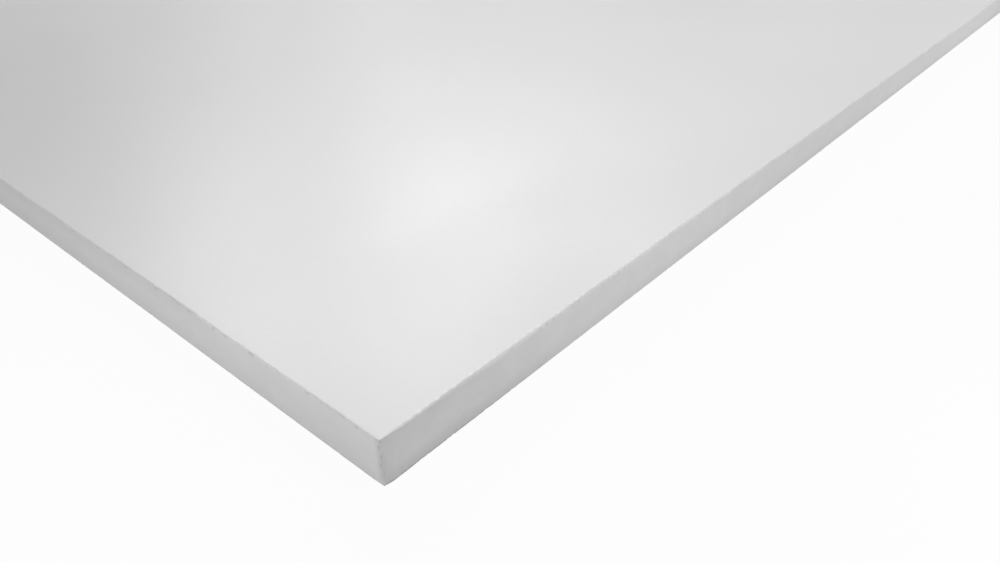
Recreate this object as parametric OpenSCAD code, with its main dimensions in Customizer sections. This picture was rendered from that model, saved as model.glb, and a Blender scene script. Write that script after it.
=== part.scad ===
// Melamine-faced board: one pressed panel, sawn to size and banded on all four edges.
// The left and right bands go on first, so the front and back bands run over their ends.
// The origin is the centre of the underside, +X runs along the long edges and +Z is up.

/* [Board] */
// Finished length, over the edge bands
board_length = 2440; // [600:10:3050]
// Finished width, over the edge bands
board_width = 1220; // [300:10:1830]
// Thickness, with the melamine faces
board_thickness = 18; // [12:1:38]

/* [Edge bands] */
// Thickness of the edge bands
band_thickness = 0.8; // [0.3:0.1:3]
// Radius that the trimmer leaves on the long arrises
arris_radius = 0.4; // [0.1:0.1:2]
// Radius that the trimmer leaves down the four corners
corner_radius = 1.5; // [0.1:0.1:2]
// Open joint where a short band butts against a long one
corner_joint = 0.1; // [0:0.05:0.3]

/* [Hidden] */
$fn = 48;

// The panel is sawn smaller than the finished board by a band on each edge.
panel_length = board_length - 2 * band_thickness;
panel_width = board_width - 2 * band_thickness;
// The rounds stay in the bands: an arris is one band deep, and the panel's corner lies 3.4 bands in.
arris = min(arris_radius, band_thickness);
corner = min(corner_radius, 3 * band_thickness);
short_band_length = panel_width - 2 * corner_joint;

// Square corner less its round: what the trimmer takes away, with the apex at the origin
module trimmings(radius) {
    difference() {
        translate([-radius, -radius]) square(2 * radius);
        translate([radius, radius]) circle(radius);
    }
}

// Rectangle centred on the origin, with its four corners rounded
module rounded_rectangle(width, height, radius) {
    difference() {
        square([width, height], center = true);
        for (flip_x = [0, 1], flip_y = [0, 1])
            mirror([flip_x, 0]) mirror([0, flip_y])
                translate([-width / 2, -height / 2]) trimmings(radius);
    }
}

// Outer form that the trimmed bands follow: rounded in plan, in long section and in cross section
module trimmed_form() {
    translate([0, 0, board_thickness / 2]) intersection() {
        linear_extrude(board_thickness, center = true)
            rounded_rectangle(board_length, board_width, corner);
        rotate([90, 0, 0]) linear_extrude(board_width, center = true)
            rounded_rectangle(board_length, board_thickness, arris);
        rotate([90, 0, 90]) linear_extrude(board_length, center = true)
            rounded_rectangle(board_width, board_thickness, arris);
    }
}

// Strip of band material that stands against the panel's edge at +X
module short_band() {
    intersection() {
        trimmed_form();
        translate([panel_length / 2, -short_band_length / 2, 0])
            cube([band_thickness, short_band_length, board_thickness]);
    }
}

// Strip of band material that stands against the panel's edge at +Y, over the short bands' ends
module long_band() {
    intersection() {
        trimmed_form();
        translate([-board_length / 2, panel_width / 2, 0])
            cube([board_length, band_thickness, board_thickness]);
    }
}

module panel() {
    color("#f2f2f0")
        translate([-panel_length / 2, -panel_width / 2, 0])
            cube([panel_length, panel_width, board_thickness]);
}

module front_edge_band() {
    color("#ececea") mirror([0, 1, 0]) long_band();
}

module back_edge_band() {
    color("#ececea") long_band();
}

module left_edge_band() {
    color("#ececea") mirror([1, 0, 0]) short_band();
}

module right_edge_band() {
    color("#ececea") short_band();
}

panel();
front_edge_band();
back_edge_band();
left_edge_band();
right_edge_band();
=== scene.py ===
"""White melamine-faced board with banded edges, lying flat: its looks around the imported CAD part.

The near corner is the one at -X -Y. The long bands run along X over the ends of the short ones.
"""

import math
from collections import namedtuple

import bmesh
import bpy
import numpy as np
from mathutils import Matrix, Vector


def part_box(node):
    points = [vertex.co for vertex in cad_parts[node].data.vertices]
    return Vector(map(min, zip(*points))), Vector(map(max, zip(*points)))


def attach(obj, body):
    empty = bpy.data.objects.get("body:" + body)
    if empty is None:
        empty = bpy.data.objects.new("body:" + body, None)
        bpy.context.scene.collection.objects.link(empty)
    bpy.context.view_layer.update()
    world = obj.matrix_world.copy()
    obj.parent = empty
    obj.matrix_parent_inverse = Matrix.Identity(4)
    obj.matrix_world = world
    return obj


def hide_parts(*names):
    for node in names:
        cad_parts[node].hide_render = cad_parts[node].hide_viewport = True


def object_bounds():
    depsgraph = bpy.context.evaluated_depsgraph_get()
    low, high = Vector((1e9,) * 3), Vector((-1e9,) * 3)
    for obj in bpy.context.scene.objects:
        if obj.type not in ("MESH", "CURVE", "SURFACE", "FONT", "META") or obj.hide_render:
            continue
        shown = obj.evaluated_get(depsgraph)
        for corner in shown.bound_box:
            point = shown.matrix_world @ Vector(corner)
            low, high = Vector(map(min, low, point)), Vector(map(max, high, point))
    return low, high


MM = 0.001

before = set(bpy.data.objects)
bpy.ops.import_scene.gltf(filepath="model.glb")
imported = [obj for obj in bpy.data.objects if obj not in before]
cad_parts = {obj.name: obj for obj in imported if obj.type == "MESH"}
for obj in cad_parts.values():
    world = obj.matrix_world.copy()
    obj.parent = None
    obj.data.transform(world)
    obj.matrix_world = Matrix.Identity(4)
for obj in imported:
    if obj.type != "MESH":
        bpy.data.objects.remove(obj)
CAD_LOW, CAD_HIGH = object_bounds()
PANEL_LOW, PANEL_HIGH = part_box("panel")

LENGTH, WIDTH, THICKNESS = CAD_HIGH - CAD_LOW
BAND = PANEL_LOW.x - CAD_LOW.x
# Open joint between the end of a short band and the long band that laps it
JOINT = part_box("left_edge_band")[0].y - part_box("front_edge_band")[1].y
NEAR_CORNER = Vector((CAD_LOW.x, CAD_LOW.y, 0))

# Rounds that the trimmer leaves on the long arrises and down the corners
ARRIS = 0.4 * MM
CORNER = 1.5 * MM
# Trimmer's marks along the lower arrises: pitch, depth, and lengths over which they drift and fade
MARK_PITCH = 4.1 * MM
MARK_DEPTH = 0.06 * MM
MARK_DRIFT = 40 * MM
MARK_SPELL = 45 * MM
# Teeth that the file left along the upper arrises: their pitch on the long bands and on the short
# ones, and the length over which they come and go
LONG_PITCH = 3.7 * MM
SHORT_PITCH = 7.5 * MM
TOOTH_SPELL = 25 * MM
# Lengths over which the easing of the upper arrises is rough and over which its reach varies
ROUGHNESS_LENGTH = 3 * MM
REACH_LENGTH = 30 * MM
# Where the wear of the lower arrises starts and the easing of the upper ones starts to change, from
# the corner, and how much further on that ends
WEAR_RISE = (3 * MM, 12 * MM)
EASING_RISE = (8 * MM, 24 * MM)

# Depth, and length over which it varies: of the wear of the lower arrises, of their unevenness, of
# the ripple of the bands' faces and of the nicks in the upper arrises
LOWER_WEAR = (0.12 * MM, 70 * MM)
LOWER_UNEVENNESS = (0.05 * MM, 6 * MM)
RIPPLE = (0.02 * MM, 9 * MM)
NICKS = (0.12 * MM, 1.5 * MM)
# Spacing, size and depth of the chips
LOWER_CHIPS = (12 * MM, 1.5 * MM, 0.2 * MM)
SMALL_UPPER_CHIPS = (8 * MM, 6 * MM, 0.30 * MM)
LARGE_UPPER_CHIPS = (50 * MM, 22 * MM, 0.4 * MM)
# Least easing of an upper arris, and least thickness that wear leaves of a band
LEAST = 0.02 * MM
# The bands' faces ripple about this far under those of the CAD model, and never outside them.
FACE_DEPTH = 0.01 * MM

# Share of the open joint that the ends of the short bands close. By the arrises glue keeps them even
# over this height, and between there they are ragged to twice this depth.
JOINT_CLOSED = 0.9
GLUE_HEIGHT = 1 * MM
RAGGED_DEPTH = 0.02 * MM

# Steps of the lower and of the upper arris, and heights and count of the rows between them
LOWER_STEPS = 5
UPPER_STEPS = 8
LOW_ROW = 1.6 * MM
HIGH_ROW = THICKNESS - 2.9 * MM
FACE_ROWS = 8
# Places of the first cross sections from the end of a lapping band and of a butted one, and further
# on the step between them at given distances from the end
LAPPING_END = np.array([0, 0.03, 0.08, 0.15, 0.24, 0.36, 0.5, 0.66, 0.84, 1.05, 1.3, 1.7, 2.1, 2.5]) * MM
BUTTED_END = np.array([0, 0.1, 0.22, 0.4, 0.65, 0.95, 1.3]) * MM
STEP_PLACES = [60 * MM, 400 * MM, 900 * MM]
STEPS = [0.5 * MM, 2.5 * MM, 6 * MM]
# Points nearer than this are merged, and edges shorter than this dissolved.
MERGE_DISTANCE = 1e-7
SHORTEST_EDGE = 1e-8
# Edges between faces that meet at less than this angle are shaded smooth.
SMOOTH_ANGLE = math.radians(35)

# Easing of an upper arris by hand: how far it draws the face in and how far it reaches down, by the
# corners (near) and away from them (far), how much the draw sways and over what length, and the
# depth and pitch of the teeth. A negative draw keeps an arris sharp, apart from where it sways.
Easing = namedtuple("Easing", "draw_near reach_near draw_far reach_far sway sway_length tooth pitch")
LONG_EASING = Easing(
    draw_near=0.34 * MM, reach_near=0.80 * MM, draw_far=0.24 * MM, reach_far=1.1 * MM,
    sway=0.34 * MM, sway_length=32 * MM, tooth=0.42 * MM, pitch=LONG_PITCH)
SHORT_EASING = Easing(
    draw_near=-0.05 * MM, reach_near=0.30 * MM, draw_far=-0.12 * MM, reach_far=0.70 * MM,
    sway=0.20 * MM, sway_length=28 * MM, tooth=0.32 * MM, pitch=SHORT_PITCH)
# Run of a band's face that is eased by hand towards a corner: its depth, its reach, and how much
# further it reaches at the top. Each band has one at its start and one at its end.
Run = namedtuple("Run", "depth reach widening")
LONG_RUNS = (Run(0.62 * MM, 3.7 * MM, 3.3), Run(0.5 * MM, 3.0 * MM, 2.5))
SHORT_RUNS = (Run(0.28 * MM, 3.0 * MM, 0.0), Run(0.25 * MM, 2.6 * MM, 0.0))


# ---------------------------------------------------------------- shapes


def rise(x, start, length):
    """Share from 0 to 1 that starts to rise at start and is full one length further."""
    return np.clip((x - start) / length, 0, 1)


def smooth(share):
    """Share from 0 to 1, eased in and out."""
    return share * share * (3 - 2 * share)


def wander(rng, along, spacing):
    """Smooth random values from -1 to 1 at the distances in along, with a new value each spacing."""
    along = np.asarray(along, float)
    knots = rng.uniform(-1, 1, int(np.ptp(along) / spacing) + 4)
    place = (along - along.min()) / spacing + 1
    left = np.floor(place).astype(int)
    t = smooth(place - left)
    return knots[left] * (1 - t) + knots[left + 1] * t


def wear(rng, along, depth, spacing):
    """Smooth random depths from 0 to twice depth at the distances in along."""
    return depth * (1 + wander(rng, along, spacing))


def unevenness(rng, along, depth, spacing):
    """Smooth random heights from -depth to depth at the distances in along."""
    return depth * wander(rng, along, spacing)


def chips(rng, along, spacing, size, depth):
    """Depth of small random chips along an edge: steep at one end, about size long, up to depth."""
    out = np.zeros(len(along))
    span = along[-1] - along[0]
    for _ in range(int(span / spacing)):
        place = rng.uniform(along[0], along[-1])
        length = size * rng.uniform(0.4, 1.2)
        bite = depth * rng.uniform(0.3, 1.0)
        share = (along - place) / length
        steep_start = 1 + 4 * share
        out = np.maximum(out, bite * np.clip(np.where(share < 0, steep_start, 1 - share), 0, 1))
    return out


def cutter_marks(rng, s):
    """Even marks of the trimmer from -1 to 1, which come and go along the edge."""
    marks = np.cos(2 * math.pi * s / MARK_PITCH + 2 * wander(rng, s, MARK_DRIFT))
    return marks * np.clip(0.5 + 0.7 * wander(rng, s, MARK_SPELL), 0, 1)


def lower_arris(rng, s, from_corner):
    """Radius of a band's lower arris, worn away from the corners, and the depth of its chips."""
    worn = wear(rng, s, *LOWER_WEAR) * rise(from_corner, *WEAR_RISE)
    radius = ARRIS + worn + MARK_DEPTH * cutter_marks(rng, s) + unevenness(rng, s, *LOWER_UNEVENNESS)
    return radius, chips(rng, s, *LOWER_CHIPS)


def upper_arris(rng, s, start, from_corner, easing, sway):
    """How far a band's upper arris draws the face in and reaches down, and the depth of its chips."""
    away = smooth(rise(from_corner, *EASING_RISE))
    teeth = 1 - (s + start) / easing.pitch % 1
    teeth = teeth * np.clip(0.6 + 0.8 * wander(rng, s, TOOTH_SPELL), 0, 1.2)
    rough = wander(rng, s, ROUGHNESS_LENGTH)
    draw = np.maximum(easing.draw_near + (easing.draw_far + sway - easing.draw_near) * away, LEAST)
    draw = draw * (1 + 0.25 * rough) + easing.tooth * teeth
    reach = easing.reach_near + (easing.reach_far - easing.reach_near) * away
    reach = reach * (1 + 0.2 * rough + 0.3 * wander(rng, s, REACH_LENGTH))
    small_chips = chips(rng, s, *SMALL_UPPER_CHIPS)
    large_chips = chips(rng, s, *LARGE_UPPER_CHIPS)
    return draw, reach, np.maximum(small_chips, large_chips)


def band_profile(rng, s, start, from_corner, easing):
    """Rows of (s, n, z) points around a band's section, from its lower inner edge to its upper one.

    Start is how far s = 0 lies from the corner.
    """
    sway = unevenness(rng, s, easing.sway, easing.sway_length)
    radius, lower_chips = lower_arris(rng, s, from_corner)
    draw, reach, upper_chips = upper_arris(rng, s, start, from_corner, easing, sway)
    ripple = [unevenness(rng, s, *RIPPLE) for _ in range(3)]
    draw = draw + wear(rng, s, *NICKS)
    rows = []

    def inner_row(z):
        rows.append(np.stack([s, np.zeros_like(s), np.full_like(s, z)], 1))

    def outer_row(n, z):
        rows.append(np.stack([s, np.maximum(n, LEAST), np.broadcast_to(z, s.shape)], 1))

    inner_row(0)
    for k in range(LOWER_STEPS + 1):
        turn = math.pi / 2 * k / LOWER_STEPS
        bite = lower_chips * math.sin(2 * turn)
        outer_row(BAND - radius * (1 - math.sin(turn)) - bite, radius * (1 - math.cos(turn)) + bite)
    for k in range(FACE_ROWS):
        height = LOW_ROW + (HIGH_ROW - LOW_ROW) * k / (FACE_ROWS - 1)
        share = height / THICKNESS
        swell = ripple[0] * (1 - share) + ripple[1] * share + ripple[2] * math.sin(math.pi * share)
        outer_row(BAND + np.minimum(swell - FACE_DEPTH, 0), height)
    for k in range(UPPER_STEPS + 1):
        turn = math.pi / 2 * (k / UPPER_STEPS) ** 0.8
        bite = upper_chips * math.sin(turn) ** 2
        outer_row(BAND - draw * (1 - math.cos(turn)) - bite, THICKNESS - reach * (1 - math.sin(turn)))
    inner_row(THICKNESS)
    return np.stack(rows, 0)


def stations(length, end_places):
    """Distances from 0 to length, in fine steps near both ends and in coarser ones between them."""
    places = list(end_places)
    s = end_places[-1]
    while s < length / 2:
        s += np.interp(s, STEP_PLACES, STEPS)
        places.append(s)
    half = np.array(places) * (length / 2 / places[-1])
    return np.concatenate([half, (length - half[:-1])[::-1]])


def round_off(distance, radius):
    """How far a round of that radius has drawn a surface in, at a distance from its end."""
    inside = np.clip(radius - distance, 0, radius)
    return radius - np.sqrt(radius**2 - inside**2)


def corner_outline(from_corner, z, run):
    """How far a band is drawn in towards a corner: by the round, and by the run eased by hand."""
    reach = run.reach * (1 + run.widening * (z / THICKNESS) ** 4)
    eased = run.depth * np.clip(1 - from_corner / reach, 0, 1) ** 1.5
    return np.maximum(round_off(from_corner, CORNER), eased)


def roughen_ends(rng, grid):
    """Brings the ends of a butted band up to the joint, ragged between the glued parts."""
    for end, inward in ((0, 1), (-1, -1)):
        z = grid[:, end, 2]
        order = np.argsort(z)
        open_part = np.clip(np.minimum(z - GLUE_HEIGHT, THICKNESS - GLUE_HEIGHT - z) / GLUE_HEIGHT, 0, 1)
        ragged = np.zeros(len(z))
        ragged[order] = wear(rng, np.arange(len(z)), RAGGED_DEPTH, 2)
        grid[:, end, 0] += inward * (ragged * open_part - JOINT_CLOSED * JOINT)


def band_mesh(seed, length, lapping, easing, runs):
    """One edge band along local +s: s along the edge, n outward from the panel, z up.

    Returns (s, n, z) vertices and faces. A lapping band runs round the corners, and the others butt
    against it.
    """
    rng = np.random.default_rng(seed)
    if lapping:
        # The ends stop where the corner's round meets the inner side of the band.
        start = CORNER - math.sqrt(CORNER**2 - (CORNER - BAND) ** 2)
        off = 0
    else:
        start = 0
        off = BAND + JOINT
    s = stations(length - 2 * start, LAPPING_END if lapping else BUTTED_END) + start
    from_corner = np.minimum(s, length - s) + off
    grid = band_profile(rng, s, off, from_corner, easing)

    # By the corners the drawing in adds to the shape of the lower half. Above, the larger one counts.
    n, z = grid[:, :, 1], grid[:, :, 2]
    drawn = np.maximum(corner_outline(s + off, z, runs[0]), corner_outline(length - s + off, z, runs[1]))
    outline = np.where(z < THICKNESS / 2, n, BAND) - drawn
    grid[:, :, 1] = np.minimum(n, np.maximum(outline, LEAST))
    if lapping:
        short_arris = round_off(from_corner, ARRIS)
        grid[:, :, 2] = np.clip(z, short_arris, THICKNESS - short_arris)
    else:
        roughen_ends(rng, grid)

    rows, cols = grid.shape[:2]
    faces = []
    for i in range(rows):
        j = (i + 1) % rows
        for k in range(cols - 1):
            faces.append((i * cols + k, i * cols + k + 1, j * cols + k + 1, j * cols + k))
    faces.append([i * cols for i in range(rows)])
    faces.append([i * cols + cols - 1 for i in reversed(range(rows))])
    return grid.reshape(-1, 3), faces


def mesh_object(name, vertices, faces):
    mesh = bpy.data.meshes.new(name)
    mesh.from_pydata(vertices, [], faces)
    bm = bmesh.new()
    bm.from_mesh(mesh)
    bmesh.ops.remove_doubles(bm, verts=bm.verts, dist=MERGE_DISTANCE)
    bmesh.ops.dissolve_degenerate(bm, edges=bm.edges, dist=SHORTEST_EDGE)
    bmesh.ops.recalc_face_normals(bm, faces=bm.faces)
    for face in bm.faces:
        face.smooth = True
    for edge in bm.edges:
        edge.smooth = not edge.is_manifold or edge.calc_face_angle(0) < SMOOTH_ANGLE
    bm.to_mesh(mesh)
    bm.free()
    obj = bpy.data.objects.new(name, mesh)
    bpy.context.scene.collection.objects.link(obj)
    return obj


def place_band(name, node, seed, along, outward, lapping, easing, runs):
    """Builds a band and lays it on its panel edge: along and outward are unit vectors in plan."""
    size = Vector((LENGTH, WIDTH, 0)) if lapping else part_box(node)[1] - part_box(node)[0]
    length = abs(size @ Vector(along))
    local, faces = band_mesh(seed, length, lapping, easing, runs)
    along = np.array(along, float)
    outward = np.array(outward, float)
    panel_half = np.array(PANEL_HIGH - PANEL_LOW) / 2
    start = -along * length / 2 + outward * abs(panel_half @ outward)
    world = start + np.outer(local[:, 0], along) + np.outer(local[:, 1], outward)
    world[:, 2] = local[:, 2]
    obj = mesh_object(name, world.tolist(), faces)
    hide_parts(node)
    return obj


# Whether a band laps the others at the corners, its easing and its runs
LONG = (True, LONG_EASING, LONG_RUNS)
SHORT = (False, SHORT_EASING, SHORT_RUNS)
bands = [
    place_band("front_band", "front_edge_band", 91821, (1, 0, 0), (0, -1, 0), *LONG),
    place_band("back_band", "back_edge_band", 12, (1, 0, 0), (0, 1, 0), *LONG),
    place_band("left_band", "left_edge_band", 27630, (0, 1, 0), (-1, 0, 0), *SHORT),
    place_band("right_band", "right_edge_band", 14, (0, 1, 0), (1, 0, 0), *SHORT),
]
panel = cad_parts["panel"]


# ---------------------------------------------------------------- materials


class Graph:
    """Short calls that build one material's node tree."""

    def __init__(self, name):
        self.material = bpy.data.materials.new(name)
        self.material.use_nodes = True
        self.tree = self.material.node_tree
        self.tree.nodes.clear()
        self.coordinates = self.add("ShaderNodeTexCoord").outputs["Object"]

    def add(self, kind, **settings):
        node = self.tree.nodes.new(kind)
        for key, value in settings.items():
            setattr(node, key, value)
        return node

    def put(self, value, socket):
        if isinstance(value, bpy.types.NodeSocket):
            self.tree.links.new(value, socket)
        else:
            socket.default_value = value

    def math(self, operation, *values):
        node = self.add("ShaderNodeMath", operation=operation)
        for value, socket in zip(values, node.inputs):
            self.put(value, socket)
        return node.outputs[0]

    def times(self, first, *others):
        for other in others:
            first = self.math("MULTIPLY", first, other)
        return first

    def position(self):
        split = self.add("ShaderNodeSeparateXYZ")
        self.put(self.coordinates, split.inputs[0])
        return split.outputs

    def noise(self, size, detail=2.0, stretch=(1, 1, 1)):
        """Noise from 0 to 1 with features about size metres across, longer by stretch."""
        mapping = self.add("ShaderNodeMapping")
        self.put(self.coordinates, mapping.inputs["Vector"])
        mapping.inputs["Scale"].default_value = [1 / (size * x) for x in stretch]
        node = self.add("ShaderNodeTexNoise")
        self.put(mapping.outputs[0], node.inputs["Vector"])
        node.inputs["Scale"].default_value = 1.0
        node.inputs["Detail"].default_value = detail
        return node.outputs["Fac"]

    def ramp(self, value, start, end, to_start=0.0, to_end=1.0):
        """Smooth change from to_start to to_end as value goes from start to end."""
        node = self.add("ShaderNodeMapRange", interpolation_type="SMOOTHSTEP")
        for x, socket in zip((value, start, end, to_start, to_end), node.inputs):
            self.put(x, socket)
        return node.outputs[0]

    def blend(self, share, first, second):
        """Colour between first and second, at a share from 0 to 1."""
        node = self.add("ShaderNodeMix", data_type="RGBA")
        self.put(share, node.inputs[0])
        self.put(first, node.inputs[6])
        self.put(second, node.inputs[7])
        return node.outputs[2]

    def pick(self, share, first, second):
        """Value between first and second, at a share from 0 to 1."""
        node = self.add("ShaderNodeMix", data_type="FLOAT")
        self.put(share, node.inputs[0])
        self.put(first, node.inputs[2])
        self.put(second, node.inputs[3])
        return node.outputs[0]

    def bump(self, height, distance, normal=None):
        node = self.add("ShaderNodeBump")
        node.inputs["Strength"].default_value = 1.0
        node.inputs["Distance"].default_value = distance
        self.put(height, node.inputs["Height"])
        if normal is not None:
            self.put(normal, node.inputs["Normal"])
        return node.outputs[0]

    def surface(self, colour, roughness, normal):
        shader = self.add("ShaderNodeBsdfPrincipled")
        self.put(colour, shader.inputs["Base Color"])
        self.put(roughness, shader.inputs["Roughness"])
        self.put(normal, shader.inputs["Normal"])
        output = self.add("ShaderNodeOutputMaterial")
        self.put(shader.outputs[0], output.inputs["Surface"])
        return self.material


def grey(level, warmth=0.0):
    return (level * (1 + warmth), level, level * (1 - warmth), 1.0)


# Colours of the facing and of the banding, each between two tones, and of what marks them, partly
# painted light and shade
FACING = (grey(0.795), grey(0.815))
BANDING = (grey(0.780), grey(0.815))
# Pale burrs: plastic whitened by the file, and a painted glint where the arris catches the light
FACING_BURR_AND_GLINT = grey(0.90)
BANDING_BURR_AND_GLINT = grey(0.92)
# Paler plastic that the file scraped, and painted light where the upper arris rounds over
SCRAPED_AND_LIT = grey(0.93)
# Dark tone of real dirt and of painted shade
DIRT_AND_SHADE = grey(0.10, 0.03)
# Middle roughness of the facing, and range of the banding's
FACING_ROUGHNESS = 0.36
BANDING_ROUGHNESS = (0.42, 0.50)
# Size and depth of the soft waves and of the fine grain on either
FACING_RELIEF = ((7 * MM, 0.006 * MM), (0.5 * MM, 0.002 * MM))
BANDING_RELIEF = ((3 * MM, 0.010 * MM), (0.45 * MM, 0.003 * MM))
# How rare the pale burrs, partly painted glints, are on the teeth of the long bands and on those of the
# short ones
LONG_RARITY = 0.44
SHORT_RARITY = 0.52
# Height of the lowest spot of dirt down a corner joint, and distance between the spots
SPOT_HEIGHT = 4.5 * MM
SPOT_PITCH = 3.5 * MM

# Sockets that say where a point of the banding lies. On_end is 1 on the board's short edges, where
# the ends of the long bands show too, and 0 on its long edges.
Place = namedtuple("Place", "x y z from_side from_corner on_end")


def file_teeth(g, tooth, rarity):
    """The deep ends of the teeth along the upper arris, and those of them that carry a pale burr, partly
    a painted glint.
    """
    deep_ends = g.ramp(g.math("FRACT", tooth), 0.3, 0.5, 1.0, 0.0)
    burrs_and_glints = g.ramp(g.math("SUBTRACT", g.noise(5 * MM, 1.0), rarity), -0.08, 0.10)
    return deep_ends, g.times(deep_ends, burrs_and_glints)


def tooth_count(g, along, extent, pitch):
    """How many teeth lie between the start of an edge and a point of it."""
    return g.math("DIVIDE", g.math("ADD", along, extent / 2), pitch)


def from_rim(g, along, extent):
    """Distance of a point from the nearer end of the board in one direction."""
    return g.math("SUBTRACT", extent / 2, g.math("ABSOLUTE", along))


def relief(g, waves, grain):
    """Bump of soft waves with a fine grain on them, from the size and depth of each."""
    normal = g.bump(g.noise(waves[0], 2.0), waves[1])
    return g.bump(g.noise(grain[0], 1.0), grain[1], normal)


def melamine():
    """Satin white facing with a fine pearl grain and faint clouds, and pale burrs on its long edges that
    are partly painted glints.
    """
    g = Graph("melamine")
    cloud = g.noise(180 * MM, 3.0)
    speck = g.noise(2.5 * MM, 2.0)
    share = g.math("ADD", g.times(cloud, 0.6), g.times(speck, 0.4))
    colour = g.blend(g.ramp(share, 0.3, 0.7), *FACING)

    x, y, z = g.position()
    rim = g.ramp(from_rim(g, y, WIDTH), BAND + 0.2 * MM, BAND + 0.9 * MM, 1.0, 0.0)
    # Pale burrs along the long edges, partly painted glints
    burrs_and_glints = file_teeth(g, tooth_count(g, x, LENGTH, LONG_PITCH), LONG_RARITY)[1]
    burrs_and_glints = g.times(burrs_and_glints, rim, g.math("GREATER_THAN", z, THICKNESS / 2))
    colour = g.blend(burrs_and_glints, colour, FACING_BURR_AND_GLINT)

    smear = g.noise(70 * MM, 3.0, stretch=(2.0, 1, 1))
    roughness = g.math("ADD", g.ramp(smear, 0.3, 0.7, -0.02, 0.02), FACING_ROUGHNESS)
    return g.surface(colour, roughness, relief(g, *FACING_RELIEF))


def line_at(g, z, height, inner, outer):
    """1 within inner of a height, fading to 0 at outer from it."""
    away = g.math("ABSOLUTE", g.math("SUBTRACT", z, height))
    return g.ramp(away, inner, outer, 1.0, 0.0)


def scraped_and_lit_strip(g, place):
    """Paler patches below the upper arris, away from the corners: plastic that the file scraped paler,
    and painted light where the arris rounds over.
    """
    scraped_and_lit = g.ramp(place.z, THICKNESS - 1.8 * MM, THICKNESS - 0.4 * MM)
    scraped_and_lit = g.times(scraped_and_lit, g.ramp(place.from_corner, 12 * MM, 45 * MM))
    patchy = g.ramp(g.noise(22 * MM, 1.0), 0.35, 0.65)
    on_long = g.ramp(patchy, 0.0, 1.0, 0.2, 0.6)
    on_short = g.ramp(patchy, 0.0, 1.0, 0.10, 0.40)
    return g.times(scraped_and_lit, g.pick(place.on_end, on_long, on_short))


def upper_marks(g, place):
    """The teeth along the upper arris: a pale burr at the deep end of each, partly a painted glint, and
    painted shade under it.
    """
    tooth = g.pick(place.on_end, tooth_count(g, place.x, LENGTH, LONG_PITCH),
                   tooth_count(g, place.y, WIDTH, SHORT_PITCH))
    deep_ends, burrs_and_glints = file_teeth(g, tooth, g.pick(place.on_end, LONG_RARITY, SHORT_RARITY))
    burrs_and_glints = g.times(burrs_and_glints, line_at(g, place.z, THICKNESS, 0.1 * MM, 0.4 * MM))
    clean = g.times(place.on_end, g.ramp(place.from_corner, 15 * MM, 40 * MM, 1.0, 0.3))
    burrs_and_glints = g.times(burrs_and_glints, g.math("SUBTRACT", 1.0, clean))
    # Painted shade under the deep ends of the teeth
    patches = g.ramp(g.noise(4 * MM, 1.0), 0.40, 0.60)
    shade_under_teeth = g.times(line_at(g, place.z, THICKNESS - 0.8 * MM, 0.2 * MM, 1.0 * MM), deep_ends, patches)
    return burrs_and_glints, g.times(shade_under_teeth, g.pick(place.on_end, 0.12, 0.22))


def face_dirt_and_shade(g, place):
    """Dirt and painted shade along the lower arris, painted shade that darkens the face towards the
    bottom, and a greyer upper part.
    """
    # Along the lower arris: dirt, and painted shade where the arris turns down to the floor
    patches = g.ramp(g.noise(3 * MM, 2.0), 0.3, 0.6, 0.4, 1.0)
    near = g.pick(place.on_end, g.ramp(place.from_corner, 20 * MM, 90 * MM, 0.55, 0.17), 0.20)
    arris = g.times(line_at(g, place.z, 0.4 * MM, 0.2 * MM, 0.9 * MM), patches, near)

    # Painted shade: the long bands darker towards the bottom, more so towards the corners
    near = g.pick(place.on_end, g.ramp(place.from_corner, 20 * MM, 110 * MM, 0.14, 0.08), 0.0)
    near = g.times(near, g.ramp(place.from_corner, 0.0, 4 * MM, 0.4, 1.0))
    bottom_shade = g.times(g.ramp(place.z, 0.5 * MM, 7 * MM, 1.0, 0.0), near)

    # By the corners on the long bands, away from them on the short ones
    near = g.pick(place.on_end, g.ramp(place.from_corner, 35 * MM, 60 * MM, 0.05, 0.0),
                  g.ramp(place.from_corner, 70 * MM, 110 * MM, 0.0, 0.09))
    upper_part = g.times(g.ramp(place.z, 10 * MM, 17.5 * MM), near)
    return g.math("MAXIMUM", g.math("MAXIMUM", arris, bottom_shade), upper_part)


def joint_dirt_and_darkening(g, place):
    """Dirt down a corner joint: spots by turns on either side of it; also the short band darker towards
    the joint and every band darker close to the corner.
    """
    beat = g.times(g.math("SUBTRACT", place.z, SPOT_HEIGHT), 2 * math.pi / SPOT_PITCH)
    sway = g.times(g.math("COSINE", g.times(beat, 0.5)), 0.2 * MM)
    drift = g.math("ADD", sway, g.ramp(g.noise(3 * MM), 0.3, 0.7, -0.15 * MM, 0.15 * MM))
    off_joint = g.math("SUBTRACT", place.from_side, BAND + JOINT + 0.05 * MM)
    off_joint = g.math("ABSOLUTE", g.math("ADD", off_joint, drift))
    spots = g.ramp(g.math("COSINE", beat), -0.1, 0.8, 0.04, 0.16)
    spots = g.times(spots, g.ramp(g.noise(4 * MM), 0.3, 0.6, 0.8, 1.1))
    spots = g.times(g.ramp(off_joint, 0.1 * MM, 0.6 * MM, 1.0, 0.0), spots)
    # The short band darker within a few millimetres of the corner
    corner_darkening = g.times(g.ramp(place.from_side, 1.0 * MM, 3.3 * MM, 0.15, 0.0),
                     g.math("GREATER_THAN", place.from_side, BAND))
    darkening = g.times(g.math("ADD", spots, corner_darkening), place.on_end)
    # Every band a little darker within 2.5 mm of the corner
    darkening = g.math("MAXIMUM", darkening, g.ramp(place.from_corner, 0.5 * MM, 2.5 * MM, 0.06, 0.0))
    fading = g.times(g.ramp(place.z, 1 * MM, 2.5 * MM), g.ramp(place.z, 16 * MM, 17 * MM, 1.0, 0.0))
    return g.times(darkening, fading)


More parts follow.
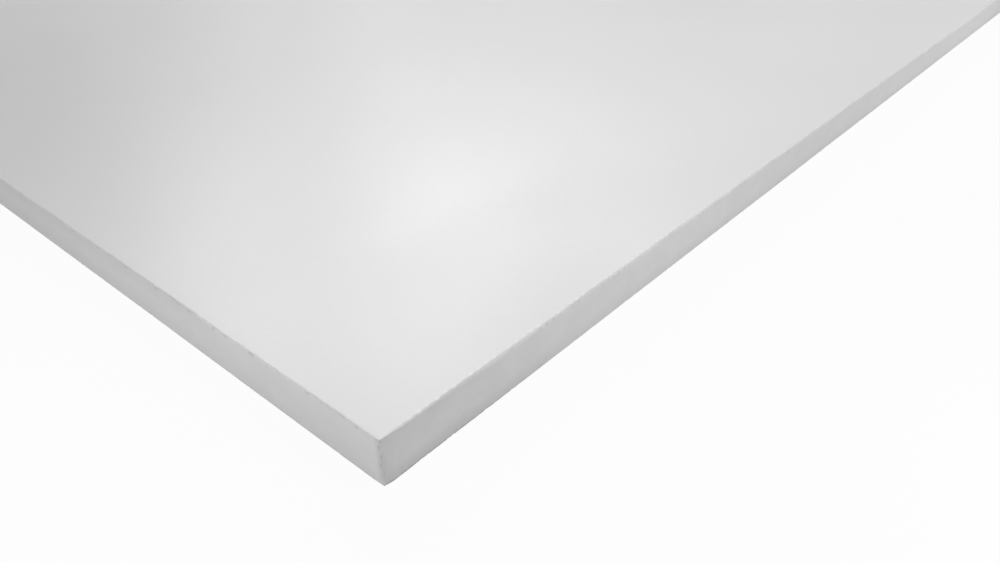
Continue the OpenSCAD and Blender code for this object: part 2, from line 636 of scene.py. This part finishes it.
def band_plastic():
    """Satin white banding: cloudier than the facing, with dirt and painted shade by the arrises, and
    darker down the corners.
    """
    g = Graph("band")
    x, y, z = g.position()
    from_end = from_rim(g, x, LENGTH)
    from_side = from_rim(g, y, WIDTH)
    # A hundredth more than the thickness of a band, against rounding
    on_end = g.math("LESS_THAN", from_end, BAND * 1.01)
    place = Place(x, y, z, from_side, g.math("MAXIMUM", from_end, from_side), on_end)

    blotch = g.noise(9 * MM, 3.0, stretch=(1.3, 1.3, 1))
    burrs_and_glints, shade_under_teeth = upper_marks(g, place)
    darkening = g.math("MAXIMUM", shade_under_teeth, face_dirt_and_shade(g, place))
    darkening = g.math("MAXIMUM", darkening, joint_dirt_and_darkening(g, place))
    colour = g.blend(g.ramp(blotch, 0.3, 0.7), *BANDING)
    # Paler under the upper arris: scraped plastic and painted light
    colour = g.blend(scraped_and_lit_strip(g, place), colour, SCRAPED_AND_LIT)
    # Pale burrs on the upper arris, partly painted glints
    colour = g.blend(burrs_and_glints, colour, BANDING_BURR_AND_GLINT)
    # Dirt and painted shade
    colour = g.blend(darkening, colour, DIRT_AND_SHADE)

    roughness = g.ramp(blotch, 0.3, 0.7, *BANDING_ROUGHNESS)
    return g.surface(colour, roughness, relief(g, *BANDING_RELIEF))


def put_on(obj, material):
    if obj.data.materials:
        obj.material_slots[0].material = material
    else:
        obj.data.materials.append(material)


band_material = band_plastic()
for band in bands:
    put_on(band, band_material)
    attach(band, "root")
put_on(panel, melamine())


# ---------------------------------------------------------------- floor, light and camera


FLOOR_REACH = 12.0
FLOOR_GAP = 0.05 * MM
FLOOR_TONE = 0.8
# Share of pure white in the floor where it is seen. The rest keeps the object's shadow.
FLOOR_LIFT = 0.95
# Strength of the even light that the world adds
WORLD_LEVEL = 0.1

# Soft boxes: name, place and aim in metres from the near corner, width and height in metres, spread
# in degrees and watts
LAMPS = [
    # Behind the board: their sheen on the facing is what the camera sees.
    ("back_key", (1.838, 1.958, 1.928), (0.3, 0.25, 0), 0.8, 1.2, 180, 15.0),
    ("back_left", (1.272, 2.539, 1.678), (0.3, 0.25, 0), 0.45, 0.45, 180, 6.65),
    ("back_middle", (2.137, 2.087, 1.500), (0.3, 0.25, 0), 0.45, 0.45, 180, 2.88),
    ("back_right", (2.428, 1.740, 1.500), (0.3, 0.25, 0), 0.45, 0.45, 180, 3.9),
    ("back_far_right", (2.606, 1.325, 1.590), (0.3, 0.25, 0), 0.45, 0.45, 180, 4.33),
    ("back_end", (2.7, 0.9, 1.3), (0.3, 0.25, 0), 0.45, 0.45, 180, 0.9),
    ("back_low", (1.820, 2.504, 1.268), (0.3, 0.25, 0), 0.8, 1.2, 180, 2.15),
    # Over the near corner
    ("overhead", (0.4, -0.3, 0.75), (0.4, -0.3, 0), 0.4, 0.4, 180, 2.93),
    # Overhead with a narrow spread: they light the facing further off and leave the near corner alone.
    ("middle_overhead", (1.7, 0.6, 1.2), (1.7, 0.6, 0), 1.4, 0.9, 60, 0.9),
    ("left_overhead", (0.6, 1.1, 0.9), (0.6, 1.1, 0), 0.8, 0.4, 50, 0.4),
    ("front_overhead", (1.9, 0.12, 0.8), (1.9, 0.12, 0), 0.8, 0.2, 50, 0.244),
    # Low in front of the edges: fills for what the camera sees, and strips along the rest.
    ("front_fill", (0.12, -0.22, 0.06), (0.12, 0, 0), 0.10, 0.06, 180, 0.086),
    ("far_front_fill", (0.65, -0.45, 0.06), (0.65, 0, 0), 0.20, 0.12, 180, 0.395),
    ("end_front_fill", (1.3, -0.6, 0.1), (1.2, 0, 0), 0.30, 0.15, 60, 0.104),
    ("front_strip", (1.6, -0.45, 0.06), (1.6, 0, 0), 1.8, 0.08, 90, 0.062),
    ("far_front_strip", (1.9, -0.6, 0.1), (1.9, 0, 0), 1.2, 0.10, 120, 1.07),
    ("left_fill", (-0.25, 0.05, 0.2), (0, 0.05, 0), 0.11, 0.067, 180, 0.364),
    ("left_strip", (-0.5, 0.85, 0.06), (0, 0.85, 0), 0.7, 0.08, 120, 0.72),
    ("right_strip", (2.94, 0.61, 0.08), (2.44, 0.61, 0), 1.1, 0.10, 120, 0.64),
]

# Camera: where it stands from the near corner, and which way it looks in degrees
CAMERA_OFFSET = Vector((-92.9, -122.1, 163.35)) * MM
CAMERA_HEADING = 40.474
CAMERA_PITCH = -31.993
CAMERA_ROLL = 0.17
# Focal length and sensor width in millimetres, and how near it sees in metres
CAMERA_LENS = 26.94
CAMERA_SENSOR = 36
CAMERA_CLIP = 0.01


def seen(tree):
    """1 for the rays that show what stands behind the object: camera, glossy and transmission rays."""
    path = tree.nodes.new("ShaderNodeLightPath")
    share = path.outputs["Is Camera Ray"]
    for name in ("Is Glossy Ray", "Is Transmission Ray"):
        larger = tree.nodes.new("ShaderNodeMath")
        larger.operation = "MAXIMUM"
        tree.links.new(share, larger.inputs[0])
        tree.links.new(path.outputs[name], larger.inputs[1])
        share = larger.outputs[0]
    return share


def pale_floor():
    """Matt pale floor that keeps the object's shadow, lifted towards white where it is seen."""
    material = bpy.data.materials.new("pale_floor")
    material.use_nodes = True
    tree = material.node_tree
    tree.nodes.clear()
    lift = tree.nodes.new("ShaderNodeMath")
    lift.operation = "MULTIPLY"
    lift.inputs[1].default_value = FLOOR_LIFT
    tree.links.new(seen(tree), lift.inputs[0])
    matt = tree.nodes.new("ShaderNodeBsdfDiffuse")
    matt.inputs["Color"].default_value = grey(FLOOR_TONE)
    white = tree.nodes.new("ShaderNodeEmission")
    mix = tree.nodes.new("ShaderNodeMixShader")
    tree.links.new(lift.outputs[0], mix.inputs[0])
    tree.links.new(matt.outputs[0], mix.inputs[1])
    tree.links.new(white.outputs[0], mix.inputs[2])
    output = tree.nodes.new("ShaderNodeOutputMaterial")
    tree.links.new(mix.outputs[0], output.inputs[0])
    return material


def make_floor():
    reach = FLOOR_REACH
    corners = [(-reach, -reach), (reach, -reach), (reach, reach), (-reach, reach)]
    mesh = bpy.data.meshes.new("floor")
    mesh.from_pydata([(x, y, -FLOOR_GAP) for x, y in corners], [], [(0, 1, 2, 3)])
    floor = bpy.data.objects.new("floor", mesh)
    bpy.context.scene.collection.objects.link(floor)
    floor.data.materials.append(pale_floor())


def make_world():
    """White where it is seen, and a low even light on the object."""
    world = bpy.data.worlds.new("studio")
    bpy.context.scene.world = world
    world.use_nodes = True
    tree = world.node_tree
    tree.nodes.clear()
    strength = tree.nodes.new("ShaderNodeMapRange")
    tree.links.new(seen(tree), strength.inputs[0])
    strength.inputs["To Min"].default_value = WORLD_LEVEL
    strength.inputs["To Max"].default_value = 1.0
    background = tree.nodes.new("ShaderNodeBackground")
    background.inputs["Color"].default_value = grey(1.0)
    tree.links.new(strength.outputs[0], background.inputs["Strength"])
    output = tree.nodes.new("ShaderNodeOutputWorld")
    tree.links.new(background.outputs[0], output.inputs[0])


def make_lamp(name, place, aim, width, height, spread, watts):
    light = bpy.data.lights.new(name, "AREA")
    light.shape = "RECTANGLE"
    light.size = width
    light.size_y = height
    light.spread = math.radians(spread)
    light.energy = watts
    lamp = bpy.data.objects.new(name, light)
    bpy.context.scene.collection.objects.link(lamp)
    lamp.visible_camera = False
    lamp.location = NEAR_CORNER + Vector(place)
    lamp.rotation_euler = (Vector(place) - Vector(aim)).to_track_quat("Z", "Y").to_euler()


def make_camera():
    data = bpy.data.cameras.new("camera")
    data.lens = CAMERA_LENS
    data.sensor_width = CAMERA_SENSOR
    data.clip_start = CAMERA_CLIP
    camera = bpy.data.objects.new("camera", data)
    bpy.context.scene.collection.objects.link(camera)
    camera.location = NEAR_CORNER + CAMERA_OFFSET
    turn = Matrix.Rotation(math.radians(CAMERA_HEADING - 90), 3, "Z")
    tilt = Matrix.Rotation(math.radians(90 + CAMERA_PITCH), 3, "X")
    roll = Matrix.Rotation(math.radians(CAMERA_ROLL), 3, "Z")
    camera.rotation_euler = (turn @ tilt @ roll).to_euler()
    bpy.context.scene.camera = camera


make_floor()
make_world()
for lamp in LAMPS:
    make_lamp(*lamp)
make_camera()
bpy.context.scene.view_settings.view_transform = "Standard"
